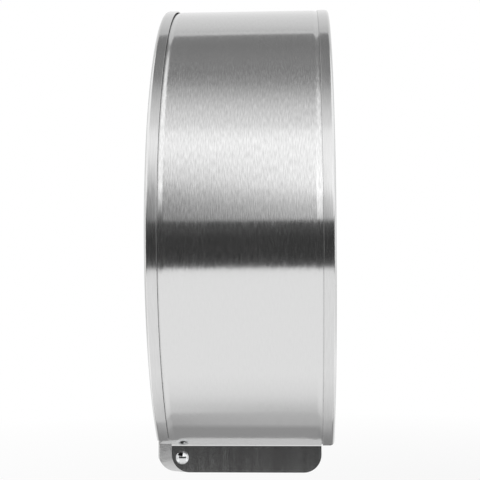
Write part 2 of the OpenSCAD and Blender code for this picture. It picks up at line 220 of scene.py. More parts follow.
class HubSizes(bpy.types.PropertyGroup):
    """Sizes of the plastic roll hub."""

    sleeve: length_property("Sleeve", "Outer diameter of the sleeve", 44, 38, 60)
    wall: length_property("Wall", "Wall of the sleeves", 2.2, 1.6, 4)
    bore: length_property("Bore", "Bore on the post", 12.1, 10, 17)
    flange_front: length_property("Flange front", "Flange's front face from the wall", 7.8, 6, 20)
    flange_rear: length_property("Flange rear", "Flange's rear face from the wall", 4.8, 4, 15)
    rounding: length_property("Rounding", "Rounding of the moulded edges", 0.6, 0.2, 1)


class LockSizes(bpy.types.PropertyGroup):
    """Sizes of the key lock."""

    flange: length_property("Flange", "Diameter of the lock's face", 20, 17, 21)
    flange_height: length_property("Flange height", "Thickness of the lock's face", 1.8, 1, 3)
    barrel: length_property("Barrel", "Diameter of the threaded barrel", 14, 12, 16)
    pitch: length_property("Pitch", "Pitch of the barrel's thread", 1, 0.5, 1.5)
    thread_depth: length_property("Thread depth", "Depth of the thread", 0.35, 0.1, 0.6)
    plug: length_property("Plug", "Diameter of the plug", 9, 7, 9)
    plug_face: length_property("Plug face", "Diameter of the plug's face", 12, 11, 13)
    plug_face_depth: length_property("Plug depth", "Depth of the plug's face", 2, 1.5, 3)
    play: length_property("Play", "Radial play of the plug", 0.05, 0.03, 0.1)
    slot_width: length_property("Key slot width", "Width of the key slot", 1.8, 1, 2.5)
    slot_length: length_property("Key slot length", "Length of the key slot", 6.5, 4, 7)
    slot_depth: length_property("Key slot depth", "Depth of the key slot", 7.5, 3, 8)
    square: length_property("Square", "Side of the square that carries the cam", 5, 4, 6)
    square_depth: length_property("Square depth", "Length of the square", 1.6, 1, 2)


class Finishes(bpy.types.PropertyGroup):
    """Colours of the finishes."""

    band: colour_property("Band", "Brushed stainless steel of the band", "#DEDEDE")
    sheet: colour_property("Sheet", "Brushed stainless steel of cover and back", "#D9D9D9")
    plain: colour_property("Plain steel", "Rolled steel of the inner parts", "#C6C6C4")
    turned: colour_property("Turned steel", "Turned steel of post and screws", "#CCCCCA")
    chrome: colour_property("Chrome", "Polished chrome of lock and rivets", "#DCDDDE")
    nylon: colour_property("Nylon", "Natural nylon of the washers", "#E6E2D6")
    plastic: colour_property("Grey plastic", "Moulded ABS of hub and retainer", "#55585B")
    pane: colour_property("Clear pane", "Clear polycarbonate of the level window", "#EDF1F2")
    floor: colour_property("Floor", "Pale floor of the studio", "#F4F4F4")


class StudioSizes(bpy.types.PropertyGroup):
    """Camera and floor."""

    distance: length_property("Distance", "Camera from the drum's axis", 768, 400, 3000)
    offset: length_property("Offset", "Camera in front of the wall", 24.7, 0, 1000)
    floor_drop: length_property("Floor", "Floor below the drum's axis", 360, 200, 1000)
    floor_radius: length_property("Floor radius", "Radius of the round floor", 3000, 500, 5000)
    focal: bpy.props.FloatProperty(
        name="Focal length",
        description="Focal length of the camera in millimetres",
        default=81.9,
        min=20,
        max=200,
    )
    yaw: angle_property("Yaw", "Turn of the camera towards the front cover", 2.745)
    pitch: angle_property("Pitch", "Tilt of the camera upwards", 0.184)
    roll: angle_property("Roll", "Roll of the camera", -0.4)


# --- shapes ---------------------------------------------------------------------------------


def turn(bm, geometry, angle, steps, centre=(0, 0, 0), axis=DRUM_AXIS, closed=False):
    """Spins vertices and edges about an axis and gives the last row made."""
    made = bmesh.ops.spin(
        bm,
        geom=geometry,
        cent=centre,
        axis=axis,
        angle=angle,
        steps=steps,
        use_merge=closed,
        use_duplicate=False,
    )
    return made["geom_last"]


def push_row(bm, row, offset):
    """Extrudes a row of edges by an offset and gives the new row."""
    edges = [item for item in row if isinstance(item, bmesh.types.BMEdge)]
    made = bmesh.ops.extrude_edge_only(bm, edges=edges)["geom"]
    verts = [item for item in made if isinstance(item, bmesh.types.BMVert)]
    bmesh.ops.translate(bm, verts=verts, vec=offset)
    edges = [item for item in made if isinstance(item, bmesh.types.BMEdge)]
    ends = set(verts)
    return verts + [edge for edge in edges if set(edge.verts) <= ends]


def push_vert(bm, vert, offset):
    """Extrudes a vertex into an edge and gives its far end."""
    made = bmesh.ops.extrude_vert_indiv(bm, verts=[vert])["verts"]
    bmesh.ops.translate(bm, verts=made, vec=offset)
    return made[0]


def last_vert(row):
    """The one vertex of a row that a spin of a single vertex made."""
    return [item for item in row if isinstance(item, bmesh.types.BMVert)][0]


def chain(bm, points):
    """Vertices at the given points, joined in a row."""
    verts = [bm.verts.new(point) for point in points]
    for one, two in zip(verts, verts[1:]):
        bm.edges.new((one, two))
    return verts


def cut(bm, point, normal):
    """Cuts away what lies on the normal's side of a plane."""
    geometry = bm.verts[:] + bm.edges[:] + bm.faces[:]
    bmesh.ops.bisect_plane(
        bm, geom=geometry, dist=CUT_REACH, plane_co=point, plane_no=normal, clear_outer=True
    )


def spread(start, end, parts):
    """Evenly spaced places from a start up to, but without, an end."""
    return [start + (end - start) * i / parts for i in range(parts)]


def smooth(share):
    """A soft S from 0 to 1, level beyond both ends."""
    share = min(1.0, max(0.0, share))
    return share * share * (3 - 2 * share)


def circle(bm, centre, diameter, steps, axis):
    """A ring of edges square to an axis, turned so that no vertex lies on X = 0."""
    basis = axis.to_track_quat("Z", "X" if abs(axis.x) < 0.5 else "Y").to_matrix().to_4x4()
    place = Matrix.Translation(centre) @ basis @ Matrix.Rotation(HALF_TURN / steps, 4, "Z")
    made = bmesh.ops.create_circle(bm, cap_ends=False, radius=diameter / 2, segments=steps, matrix=place)
    return made["verts"]


def stadium(bm, centre, length, width, steps):
    """A slot's outline along X, square to Y."""
    verts = circle(bm, centre, width, steps, Y_AXIS)
    half = (length - width) / 2
    for side in (-1, 1):
        group = [vert for vert in verts if (vert.co.x - centre[0]) * side > 0]
        bmesh.ops.translate(bm, verts=group, vec=(side * half, 0, 0))
    return verts


def fill_flat(bm, place, value, normal):
    """Fills the open loops that lie in one plane, leaving the inner loops as holes."""
    edges = [
        edge
        for edge in bm.edges
        if (edge.is_boundary or edge.is_wire)
        and all(abs(vert.co[place] - value) < TOUCH for vert in edge.verts)
    ]
    bmesh.ops.triangle_fill(bm, use_beauty=True, use_dissolve=False, edges=edges, normal=normal)


def lathe(bm, points, centre, axis, steps, closed=False):
    """Spins (radius, height) points round an axis, in an empty mesh; closed makes them a ring."""
    side = Z_AXIS if abs(axis.x) > 0.5 else X_AXIS
    places = [Vector(centre) + axis * height + side * radius for radius, height in points]
    verts = chain(bm, places)
    if closed:
        bm.edges.new((verts[-1], verts[0]))
    turn(bm, verts + bm.edges[:], FULL_TURN, steps, centre, axis, closed=True)


def dome(radius, base, height, steps):
    """Points of a domed head from its top to its rim."""
    bend = (radius * radius + height * height) / (2 * height)
    reach = math.asin(radius / bend)
    return [
        (bend * math.sin(reach * i / steps), base + height - bend * (1 - math.cos(reach * i / steps)))
        for i in range(steps + 1)
    ]


def map_grain(bm, mapping):
    """Writes the grain map: mapping gives (u, v) for a face and a point of it."""
    layer = bm.loops.layers.uv.new(GRAIN)
    for face in bm.faces:
        for loop in face.loops:
            loop[layer].uv = mapping(face, loop.vert.co)


def drum_angle(point):
    """Angle of a point from the drum's top, between minus and plus half a turn."""
    return math.atan2(point.x, point.z)


def round_grain(face, point):
    """Brushing along the circumference."""
    angle = drum_angle(point)
    middle = drum_angle(face.calc_center_median())
    if angle - middle > HALF_TURN:
        angle -= FULL_TURN
    if middle - angle > HALF_TURN:
        angle += FULL_TURN
    return point.y, BACK_HIGH.x * angle


def face_outwards(bm, centre):
    """Turns all faces the same way round, and away from a point."""
    bmesh.ops.recalc_face_normals(bm, faces=bm.faces)
    lean = sum(
        face.normal.dot(face.calc_center_median() - Vector(centre)) * face.calc_area() for face in bm.faces
    )
    if lean < 0:
        bmesh.ops.reverse_faces(bm, faces=bm.faces)


def put_piece(name, bm, slot, nodes, thickness=0.0, edge=0.0, steps=2, centre=None, grain=None):
    """Makes a mesh into a piece that stands for its CAD nodes and rides on their body."""
    bmesh.ops.remove_doubles(bm, verts=bm.verts, dist=MERGE)
    if centre is None:
        bmesh.ops.recalc_face_normals(bm, faces=bm.faces)
    else:
        face_outwards(bm, centre)
    if grain:
        map_grain(bm, grain)
    mesh = bpy.data.meshes.new(name)
    bm.to_mesh(mesh)
    bm.free()
    mesh.polygons.foreach_set("use_smooth", [True] * len(mesh.polygons))
    mesh.materials.append(finish_for(slot))
    piece = bpy.data.objects.new(name, mesh)
    bpy.context.scene.collection.objects.link(piece)
    if thickness:
        wall = piece.modifiers.new("Sheet", "SOLIDIFY")
        wall.thickness = thickness
        wall.offset = -1
        wall.use_even_offset = True
    if edge:
        rounding = piece.modifiers.new("Edges", "BEVEL")
        rounding.width = edge
        rounding.segments = steps
        rounding.limit_method = "ANGLE"
        rounding.angle_limit = SHARP
        rounding.use_clamp_overlap = False
    else:
        mesh.set_sharp_from_angle(angle=SHARP)
    weights = piece.modifiers.new("Normals", "WEIGHTED_NORMAL")
    weights.keep_sharp = True
    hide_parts(*nodes)
    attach(piece, frame["nodes"][nodes[0]]["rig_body"])


def dress_copy(node, name, slot, edge, steps=2):
    """A merged copy of a CAD node with its flats joined and its edges rounded."""
    bm = bmesh.new()
    bm.from_mesh(frame["nodes"][node].data)
    for layer in list(bm.loops.layers.uv.values()):
        bm.loops.layers.uv.remove(layer)
    bmesh.ops.remove_doubles(bm, verts=bm.verts, dist=MERGE)
    bmesh.ops.dissolve_limit(
        bm, angle_limit=FLAT, verts=bm.verts, edges=bm.edges, use_dissolve_boundaries=False
    )
    for item in bm.edges:
        item.smooth = True
    put_piece(name, bm, slot, [node], edge=edge, steps=steps)


# --- finishes -------------------------------------------------------------------------------


WHITE = (1, 1, 1, 1)
PATTERN = (0.3, 0.7)  # between these a noise's values mostly lie

# brushed steel: the heights between which its marks grow stronger, and fade again near the top; the marks
# are the steel's own, their stronger tone there is painted glint of mirrored lamps
MARK_GLINT_GROW = (-16 * MM, -4 * MM)
MARK_GLINT_FADE = (98 * MM, 116 * MM)
TOP_GLINT_CONTRAST = 0.25
# and the painted shade in its seams, from ambient occlusion: how far a wall darkens them, from what openness
# on, and to what share
SEAM_REACH = 1.6 * MM
SEAM_OPEN = (0.3, 0.75)
SEAM_SHADE_TONE = 0.25


def linear(hex_colour, share=1.0):
    """An sRGB hex colour as linear values, times a share."""
    parts = [int(hex_colour[i : i + 2], 16) / 255 for i in (1, 3, 5)]
    parts = [p / 12.92 if p <= 0.04045 else ((p + 0.055) / 1.055) ** 2.4 for p in parts]
    return [share * p for p in parts] + [1.0]


def add_node(tree, kind, values=None, links=None, **settings):
    """Adds one shader node by its kind; values set its sockets, links feed them.

    A link comes from an output socket, or from a node, which stands for its first output.
    """
    node = tree.nodes.new("ShaderNode" + kind)
    for name, value in settings.items():
        setattr(node, name, value)
    for socket, value in (values or {}).items():
        node.inputs[socket].default_value = value
    for socket, source in (links or {}).items():
        output = source.outputs[0] if isinstance(source, bpy.types.Node) else source
        tree.links.new(output, node.inputs[socket])
    return node


def span(start, end, low=0.0, high=1.0):
    """Values for a map range node that goes from low to high between start and end."""
    return {"From Min": start, "From Max": end, "To Min": low, "To Max": high}


def new_material(name):
    """An empty node material with its output's surface socket."""
    material = bpy.data.materials.new(name)
    material.use_nodes = True
    tree = material.node_tree
    tree.nodes.clear()
    return material, tree, add_node(tree, "OutputMaterial").inputs["Surface"]


def varied_tone(tree, colour, pattern, low, high):
    """A colour that a pattern takes from a low to a high share of its brightness."""
    tones = {6: linear(colour, low), 7: linear(colour, high)}
    # in a mix node, sockets 6 and 7 are the colours, and output 2 is the mixed colour
    return add_node(tree, "Mix", tones, {0: pattern}, data_type="RGBA").outputs[2]


def brushed_steel(name, colour, roughness, mark, depth, anisotropy, glint_contrast):
    """Stainless steel 304 with a brushed finish: it mirrors along the brushing and smears across it.

    mark is a brush mark's width and length, depth how deep it reads, and glint_contrast how much its tone
    varies below and above the drum's middle, which paints the lamps' glint into the marks. Painted shade
    from ambient occlusion darkens the seams.
    """
    material, tree, surface = new_material(name)
    grain = add_node(tree, "UVMap", uv_map=GRAIN)
    wide, long = mark
    fine, coarse = (
        add_node(tree, "Mapping", {"Scale": scale}, {"Vector": grain})
        for scale in ((1 / wide, 1 / long, 1), (1 / (6 * wide), 1 / (12 * long), 1))
    )
    marks, bands = (
        add_node(tree, "TexNoise", {"Detail": detail, "Scale": 1.0}, {"Vector": at}, noise_dimensions="2D")
        for at, detail in ((fine, 1.0), (coarse, 2.0))
    )
    place = add_node(tree, "TexCoord").outputs["Object"]
    height = add_node(tree, "SeparateXYZ", links={0: place}).outputs["Z"]
    # painted glint: the marks' tone varies more over the heights where mirrored lamps sparkle in the
    # brushing
    grown, faded = (
        add_node(tree, "MapRange", values, {"Value": height}, interpolation_type="SMOOTHSTEP")
        for values in (span(*MARK_GLINT_GROW, *glint_contrast), span(*MARK_GLINT_FADE, 1.0, TOP_GLINT_CONTRAST))
    )
    strength = add_node(tree, "Math", links={0: grown, 1: faded}, operation="MULTIPLY")
    centred = add_node(tree, "MapRange", span(0, 1, -1, 1), {"Value": marks})
    share = add_node(tree, "Math", {2: 1.0}, {0: centred, 1: strength}, operation="MULTIPLY_ADD")
    tone = add_node(tree, "VectorMath", {0: linear(colour)[:3]}, {"Scale": share}, operation="SCALE")
    # painted shade: ambient occlusion darkens the colour in seams and gaps, where shade falls
    seam = add_node(tree, "AmbientOcclusion", {"Distance": SEAM_REACH}, samples=6)
    clean = add_node(tree, "MapRange", span(*SEAM_OPEN), {"Value": seam.outputs["AO"]})
    seam_shaded = add_node(tree, "Mix", {6: linear(colour, SEAM_SHADE_TONE)}, {0: clean, 7: tone}, data_type="RGBA")
    worn = add_node(tree, "MapRange", span(*PATTERN, 0.9 * roughness, 1.15 * roughness), {"Value": bands})
    scored = add_node(tree, "MapRange", span(0, 1, 0.8, 1.2), {"Value": marks})
    rough = add_node(tree, "Math", links={0: worn, 1: scored}, operation="MULTIPLY")
    bump = add_node(tree, "Bump", {"Distance": depth}, {"Height": marks})
    tangent = add_node(tree, "Tangent", direction_type="UV_MAP", uv_map=GRAIN)
    shader = add_node(
        tree,
        "BsdfPrincipled",
        {"Metallic": 1.0, "Anisotropic": anisotropy},
        {"Base Color": seam_shaded.outputs[2], "Roughness": rough, "Normal": bump, "Tangent": tangent},
    )
    tree.links.new(shader.outputs[0], surface)
    return material


def worked_steel(name, colour, roughness, spacing, depth, stretch):
    """Steel that was rolled or turned: fine marks, spacing apart, stretched by a factor each way."""
    material, tree, surface = new_material(name)
    place = add_node(tree, "TexCoord").outputs["Object"]
    scaled = add_node(
        tree, "Mapping", {"Scale": [factor / spacing for factor in stretch]}, {"Vector": place}
    )
    marks = add_node(tree, "TexNoise", {"Scale": 1.0, "Detail": 4.0, "Roughness": 0.6}, {"Vector": scaled})
    tone = varied_tone(tree, colour, marks, 0.9, 1.05)
    rough = add_node(tree, "MapRange", span(*PATTERN, 0.8 * roughness, 1.25 * roughness), {"Value": marks})
    bump = add_node(tree, "Bump", {"Distance": depth}, {"Height": marks})
    shader = add_node(
        tree, "BsdfPrincipled", {"Metallic": 1.0}, {"Base Color": tone, "Roughness": rough, "Normal": bump}
    )
    tree.links.new(shader.outputs[0], surface)
    return material


def moulded_plastic(name, colour, roughness, grain, depth, ior):
    """Injection-moulded plastic: a soft sheen broken by a fine spark-eroded texture."""
    material, tree, surface = new_material(name)
    place = add_node(tree, "TexCoord").outputs["Object"]
    texture, cloud = (
        add_node(tree, "TexNoise", {"Scale": 1 / size, "Detail": 2.0}, {"Vector": place})
        for size in (grain, 40 * grain)
    )
    tone = varied_tone(tree, colour, cloud, 0.92, 1.06)
    bump = add_node(tree, "Bump", {"Distance": depth}, {"Height": texture})
    rough = add_node(tree, "MapRange", span(0, 1, 0.9 * roughness, 1.15 * roughness), {"Value": cloud})
    shader = add_node(
        tree, "BsdfPrincipled", {"IOR": ior}, {"Base Color": tone, "Roughness": rough, "Normal": bump}
    )
    tree.links.new(shader.outputs[0], surface)
    return material


def polished(name, haze_size, detail, shine, values):
    """A smooth, clean stuff whose only pattern is a trace of haze in its shine.

    shine is the roughness where it is clearest and where it is haziest, values what else it is made of.
    """
    material, tree, surface = new_material(name)
    place = add_node(tree, "TexCoord").outputs["Object"]
    haze = add_node(tree, "TexNoise", {"Scale": 1 / haze_size, "Detail": detail}, {"Vector": place})
    rough = add_node(tree, "MapRange", span(0, 1, *shine), {"Value": haze})
    shader = add_node(tree, "BsdfPrincipled", values, {"Roughness": rough})
    tree.links.new(shader.outputs[0], surface)
    return material


def make_finish(slot, colours):
    """The material of a slot."""
    if slot == "brushed_band":
        # brushed 304 sheet of the band; its 0.35 mm marks are drawn 0.65 mm wide so that they show
        look = {"roughness": 0.14, "mark": (0.65 * MM, 4.5 * MM), "depth": 0.012 * MM}
        # glint_contrast paints the lamps' glint into the band's marks, strongest on the drum's upper side
        return brushed_steel("stainless_band", colours.band, anisotropy=0.85, glint_contrast=(0.02, 0.23), **look)
    if slot == "brushed_sheet":
        # brushed 304 sheet of cover and back, with longer and fainter marks
        look = {"roughness": 0.15, "mark": (0.65 * MM, 9 * MM), "depth": 0.01 * MM}
        return brushed_steel("stainless_sheet", colours.sheet, anisotropy=0.8, glint_contrast=(0.05, 0.08), **look)
    if slot == "plain_steel":
        # cold-rolled mild steel of the inner parts, marked along Y by the rolls
        look = {"roughness": 0.34, "spacing": 0.5 * MM, "depth": 0.002 * MM, "stretch": (1.0, 0.3, 1.0)}
        return worked_steel("rolled_steel", colours.plain, **look)
    if slot == "turned_steel":
        # bar steel with fine tool marks round Y
        look = {"roughness": 0.26, "spacing": 0.4 * MM, "depth": 0.002 * MM, "stretch": (0.2, 1.0, 0.2)}
        return worked_steel("turned_bar_steel", colours.turned, **look)
    if slot == "nylon":
        # natural nylon of the washers, ivory and slightly waxy
        look = {"roughness": 0.45, "grain": 0.5 * MM, "depth": 0.004 * MM, "ior": 1.53}
        return moulded_plastic("natural_nylon", colours.nylon, **look)
    if slot == "grey_plastic":
        # grey ABS of hub and retainer, with a fine moulded grain
        look = {"roughness": 0.42, "grain": 0.35 * MM, "depth": 0.01 * MM, "ior": 1.54}
        return moulded_plastic("grey_abs", colours.plastic, **look)
    if slot == "chrome":
        # chrome plate on brass or steel, a near mirror
        metal = {"Base Color": linear(colours.chrome), "Metallic": 1.0}
        return polished("chrome_plate", haze_size=1.5 * MM, detail=3.0, shine=(0.05, 0.11), values=metal)
    # clear extruded polycarbonate of the level window, glassy, with the faintest tint
    clear = {"Base Color": linear(colours.pane), "IOR": 1.58, "Transmission Weight": 1.0}
    return polished("clear_polycarbonate", haze_size=8 * MM, detail=2.0, shine=(0.02, 0.06), values=clear)


finishes_made = {}


def finish_for(slot):
    """The material of a slot, made when it is first asked for."""
    if slot not in finishes_made:
        finishes_made[slot] = make_finish(slot, bpy.context.scene.dispenser_finishes)
    return finishes_made[slot]


# --- pieces ---------------------------------------------------------------------------------


class DISPENSER_OT_drum_band(bpy.types.Operator):
    """Build the band, bent down at its ends into the side panels of the mouth"""

    bl_idname = "dispenser.drum_band"
    bl_label = "Drum band"

    def execute(self, context):
        sizes = context.scene.dispenser_sheet
        radius, low = BAND_HIGH.x, BAND_LOW.z
        bend, lean = sizes.bend, sizes.lean
        centre_x = PANEL_FACE + bend
        centre_z = -math.sqrt((radius + bend) ** 2 - centre_x**2)
        reach = math.atan2(-centre_z, centre_x)
        start_x = centre_x - bend * math.cos(lean)
        start_z = centre_z - bend * math.sin(lean)
        drop = start_z - low
        out = drop * math.tan(lean)
        bm = bmesh.new()
        cover_seam = COVER_LOW.y + context.scene.dispenser_cover.flange_depth
        back_seam = -context.scene.dispenser_back.flange_depth
        front, rear = -sizes.panel_front, -sizes.panel_rear
        inner_front, inner_rear = cover_seam + sizes.joggle, back_seam - sizes.joggle
        places = [BAND_LOW.y] + spread(cover_seam, front, 2) + spread(front, inner_front, 4) + [inner_front]
        places += spread(inner_rear, rear, 4) + spread(rear, back_seam, 2) + [back_seam, BAND_HIGH.y]
        verts = chain(bm, [(start_x + out, y, low) for y in places])
        row = verts + bm.edges[:]
        row = push_row(bm, row, (-out, 0, drop))
        sweep = reach + lean
        row = turn(bm, row, -sweep, BEND_STEPS, (centre_x, 0, centre_z))
        row = turn(bm, row, HALF_TURN + 2 * reach, BAND_STEPS)
        row = turn(bm, row, -sweep, BEND_STEPS, (-centre_x, 0, centre_z))
        push_row(bm, row, (-out, 0, -drop))
        self.settle(bm, radius, reach, sizes, (cover_seam, inner_front, inner_rear, back_seam))
        self.trim_ends(bm, sizes, -math.sqrt(radius**2 - PANEL_FACE**2) + sizes.thickness)
        # a panel is flat, so the upright edges between its ends go
        between = [
            edge
            for edge in bm.edges
            if max(vert.co.z for vert in edge.verts) < start_z + TOUCH
            and abs(edge.verts[0].co.z - edge.verts[1].co.z) > UPRIGHT
            and front + TOUCH < edge.verts[0].co.y < rear - TOUCH
        ]
        bmesh.ops.dissolve_edges(bm, edges=between, use_verts=True, use_face_split=False)
        corners = [
            vert
            for vert in bm.verts
            if abs(vert.co.z - low) < TOUCH and min(abs(vert.co.y - front), abs(vert.co.y - rear)) < TOUCH
        ]
        bmesh.ops.bevel(
            bm,
            geom=corners,
            offset=sizes.panel_corner,
            offset_type="OFFSET",
            segments=CORNER_STEPS,
            profile=0.5,
            affect="VERTICES",
            material=-1,
        )
        put_piece(
            "drum_band_sheet",
            bm,
            "brushed_band",
            ["drum_band"],
            thickness=sizes.thickness,
            edge=sizes.edge,
            centre=(0, (BAND_LOW.y + BAND_HIGH.y) / 2, 0),
            grain=self.grain,
        )
        return {"FINISHED"}

    def settle(self, bm, radius, reach, sizes, steps):
        """Raises the rolled band between its margins, and lets it run flat into each bend.

        steps are the places along Y where the rise begins and ends beside the two rims.
        """
        low_front, high_front, high_rear, low_rear = steps
        flat_start = Vector((math.cos(BAND_FLAT), math.sin(BAND_FLAT))) * (radius + BAND_DIP)
        along = Vector((math.cos(reach), math.sin(reach))) * radius - flat_start
        for vert in bm.verts:
            angle = math.atan2(-vert.co.z, abs(vert.co.x))
            if angle > reach - MERGE or abs(math.hypot(vert.co.x, vert.co.z) - radius) > MERGE:
                continue
            fall = smooth((angle - BAND_EASE) / (BAND_FLAT - BAND_EASE))
            rise = sizes.bulge + (BAND_DIP - sizes.bulge) * fall
            if angle > BAND_FLAT:
                ray = Vector((math.cos(angle), math.sin(angle)))
                rise = flat_start.cross(along) / ray.cross(along) - radius
            share = (vert.co.y - low_front) / (high_front - low_front)
            if vert.co.y > (high_front + high_rear) / 2:
                share = (vert.co.y - low_rear) / (high_rear - low_rear)
            grown = radius + rise * smooth(share)
            vert.co.x *= grown / radius
            vert.co.z *= grown / radius

    def trim_ends(self, bm, sizes, end_z):
        """Removes the strips in front of and behind the panels below the band's ends."""

        def beside_panel(face):
            middle = face.calc_center_median()
            beside = not -sizes.panel_front < middle.y < -sizes.panel_rear
            return beside and middle.z < end_z + END_REACH

        beside = [face for face in bm.faces if beside_panel(face)]
        parts = [part for face in beside for part in (*face.verts, *face.edges)]
        bmesh.ops.bisect_plane(
            bm,
            geom=list(dict.fromkeys(parts)) + beside,
            dist=CUT_REACH,
            plane_co=(0, 0, end_z),
            plane_no=(0, 0, -1),
        )
        below = [f for f in bm.faces if beside_panel(f) and f.calc_center_median().z < end_z]
        bmesh.ops.delete(bm, geom=below, context="FACES")

    def grain(self, face, point):
        """Brushing along the band, and upright on the panels."""
        if face.calc_center_median().z < BACK_LOW.z:
            return point.y, point.z
        return round_grain(face, point)


class DISPENSER_OT_back_plate(bpy.types.Operator):
    """Build the back plate with its rim, its wall holes and the rivet holes"""

    bl_idname = "dispenser.back_plate"
    bl_label = "Back plate"

    def execute(self, context):
        sheet = context.scene.dispenser_sheet
        sizes = context.scene.dispenser_back
        radius, low, fold = BACK_HIGH.x, BACK_LOW.z, sheet.back_fold
        corner = sizes.flange_corner
        bm = bmesh.new()
        first = bm.verts.new((radius - fold, 0, 0))
        row = turn(bm, [first], -QUARTER_TURN, FOLD_STEPS, (radius - fold, -fold, 0), Z_AXIS)
        push_vert(bm, last_vert(row), (0, fold - sizes.flange_depth, 0))
        turn(bm, bm.verts[:] + bm.edges[:], FULL_TURN, RIM_STEPS, closed=True)
        cut(bm, (0, 0, low), (0, 0, -1))
        for step in range(1, BEND_STEPS):
            angle = QUARTER_TURN * step / BEND_STEPS
            normal = Vector((0, math.sin(angle), -math.cos(angle)))
            centre = Vector((0, -corner, low + corner))
            cut(bm, centre + normal * corner, normal)
        loop = [v for v in bm.verts if abs(v.co.y) < TOUCH]
        lowest = min(v.co.z for v in loop)
        ends = sorted((v for v in loop if v.co.z < lowest + TOUCH), key=lambda v: v.co.x)
        left, right = ends[0], ends[-1]
        bm.edges.new((left, right))
        half = sizes.wall_spacing / 2
        for x in (-half, half):
            for z in (-half, half):
                circle(bm, (x, 0, z), sizes.wall_hole, WALL_HOLE_STEPS, Y_AXIS)
        for step in range(4):
            angle = QUARTER_TURN * (step + 0.5)
            place = Vector((math.cos(angle), 0, math.sin(angle))) * sizes.rivet_circle / 2
            circle(bm, place, sizes.rivet_hole, HOLE_STEPS, Y_AXIS)
        fill_flat(bm, 1, 0.0, Y_AXIS)
        put_piece(
            "back_plate_sheet",
            bm,
            "brushed_sheet",
            ["back_plate"],
            thickness=sheet.thickness,
            edge=sheet.edge,
            centre=INSIDE,
            grain=disc_grain,
        )
        return {"FINISHED"}


def disc_grain(face, point):
    """Upright brushing on a disc, its foot and ears, and along the circumference on its rim."""
    middle = face.calc_center_median()
    level = abs(face.normal.y) > 0.99
    if level or abs(middle.x) < EAR_REACH and point.z < BACK_LOW.z:
        return point.x, point.z
    if middle.z < BACK_LOW.z + EAR_RISE:
        return point.y, point.z
    return round_grain(face, point)


class DISPENSER_OT_front_cover(bpy.types.Operator):
    """Build the cover: disc, rim, foot and ears, with the holes for lock and level slot"""

    bl_idname = "dispenser.front_cover"
    bl_label = "Front cover"

    def execute(self, context):
        sheet = context.scene.dispenser_sheet
        sizes = context.scene.dispenser_cover
        radius, front, fold = COVER_HIGH.x, COVER_LOW.y, sheet.cover_fold
        end_z = BACK_LOW.z + sizes.flange_lift
        foot_z = BACK_LOW.z - sizes.foot
        foot_x = sizes.foot_half_width - sheet.ear_fold
        ear_top = end_z - sizes.notch
        bm = bmesh.new()
        first = bm.verts.new((radius - fold, front, 0))
        row = turn(bm, [first], QUARTER_TURN, COVER_FOLD_STEPS, (radius - fold, front + fold, 0), Z_AXIS)
        push_vert(bm, last_vert(row), (0, sizes.flange_depth - fold, 0))
        turn(bm, bm.verts[:] + bm.edges[:], FULL_TURN, RIM_STEPS, closed=True)
        cut(bm, (0, 0, end_z), (0, 0, -1))
        ends = [v for v in bm.verts if abs(v.co.y - front) < TOUCH and abs(v.co.z - end_z) < TOUCH]
        left, right = sorted(ends, key=lambda v: v.co.x)
        half = [(foot_x, end_z), (foot_x, ear_top), (foot_x, foot_z)]
        path = [right] + [bm.verts.new((x, front, z)) for x, z in half]
        path += [bm.verts.new((-x, front, z)) for x, z in reversed(half)] + [left]
        for one, two in zip(path, path[1:]):
            bm.edges.new((one, two))
        circle(bm, (0, front, LOCK.z), sizes.lock_hole, TURNED_STEPS, Y_AXIS)
        slot_x = (WINDOW_LOW.x + WINDOW_HIGH.x) / 2
        stadium(bm, (slot_x, front, 0), sizes.slot_length, sizes.slot_width, SLOT_STEPS)
        fill_flat(bm, 1, front, -Y_AXIS)
        ear = self.ear(sheet, sizes, foot_x, ear_top, foot_z, BACK_LOW.z + sizes.ear_lift)
        mesh = bpy.data.meshes.new("ear")
        ear.to_mesh(mesh)
        ear.free()
        bm.from_mesh(mesh)
        mesh.transform(Matrix.Scale(-1, 4, X_AXIS))
        bm.from_mesh(mesh)
        bpy.data.meshes.remove(mesh)
        put_piece(
            "front_cover_sheet",
            bm,
            "brushed_sheet",
            ["front_cover"],
            thickness=sheet.thickness,
            edge=sheet.edge,
            centre=INSIDE,
            grain=disc_grain,
        )
        return {"FINISHED"}

    def ear(self, sheet, sizes, foot_x, ear_top, foot_z, strip_top):
        """The right ear: a fold at the foot's side and a flat strip with a round end.

        ear_top is the top of the fold; the strip's top runs from there to strip_top above the pivot.
        """
        front, low, fold = COVER_LOW.y, COVER_LOW.z, sheet.ear_fold
        outer = sizes.foot_half_width
        corner = sizes.ear_corner
        corner_y, corner_z = front + corner, low + corner

        def lower_edge(y):
            return min(foot_z, corner_z - math.sqrt(max(0.0, corner**2 - (y - corner_y) ** 2)))

        bm = bmesh.new()
        chain(bm, [(foot_x, front, ear_top), (foot_x, front, foot_z)])
        row = bm.verts[:] + bm.edges[:]
        row = turn(bm, row, QUARTER_TURN, FOLD_STEPS, (foot_x, front + fold, 0), Z_AXIS)
        for vert in bm.verts:
            if vert.co.z < (ear_top + foot_z) / 2:
                vert.co.z = lower_edge(vert.co.y)
        top = max((v for v in row if isinstance(v, bmesh.types.BMVert)), key=lambda v: v.co.z)
        pivot = (outer, HINGE.y, HINGE.z)
        tip = push_vert(bm, top, (0, HINGE.y - top.co.y, strip_top - top.co.z))
        tip = last_vert(turn(bm, [tip], -HALF_TURN, EAR_STEPS, pivot, X_AXIS))
        tip = push_vert(bm, tip, (0, corner_y - tip.co.y, low - tip.co.z))
        sweep = math.asin((corner_y - (front + fold)) / corner)
        turn(bm, [tip], -sweep, EAR_CORNER_STEPS, (outer, corner_y, corner_z), X_AXIS)
        # the corner ends on the lower end of the fold, within a few micrometres
        bmesh.ops.remove_doubles(bm, verts=bm.verts, dist=20 * MERGE)
        circle(bm, pivot, sizes.ear_hole, HOLE_STEPS, X_AXIS)
        fill_flat(bm, 0, outer, X_AXIS)
        return bm


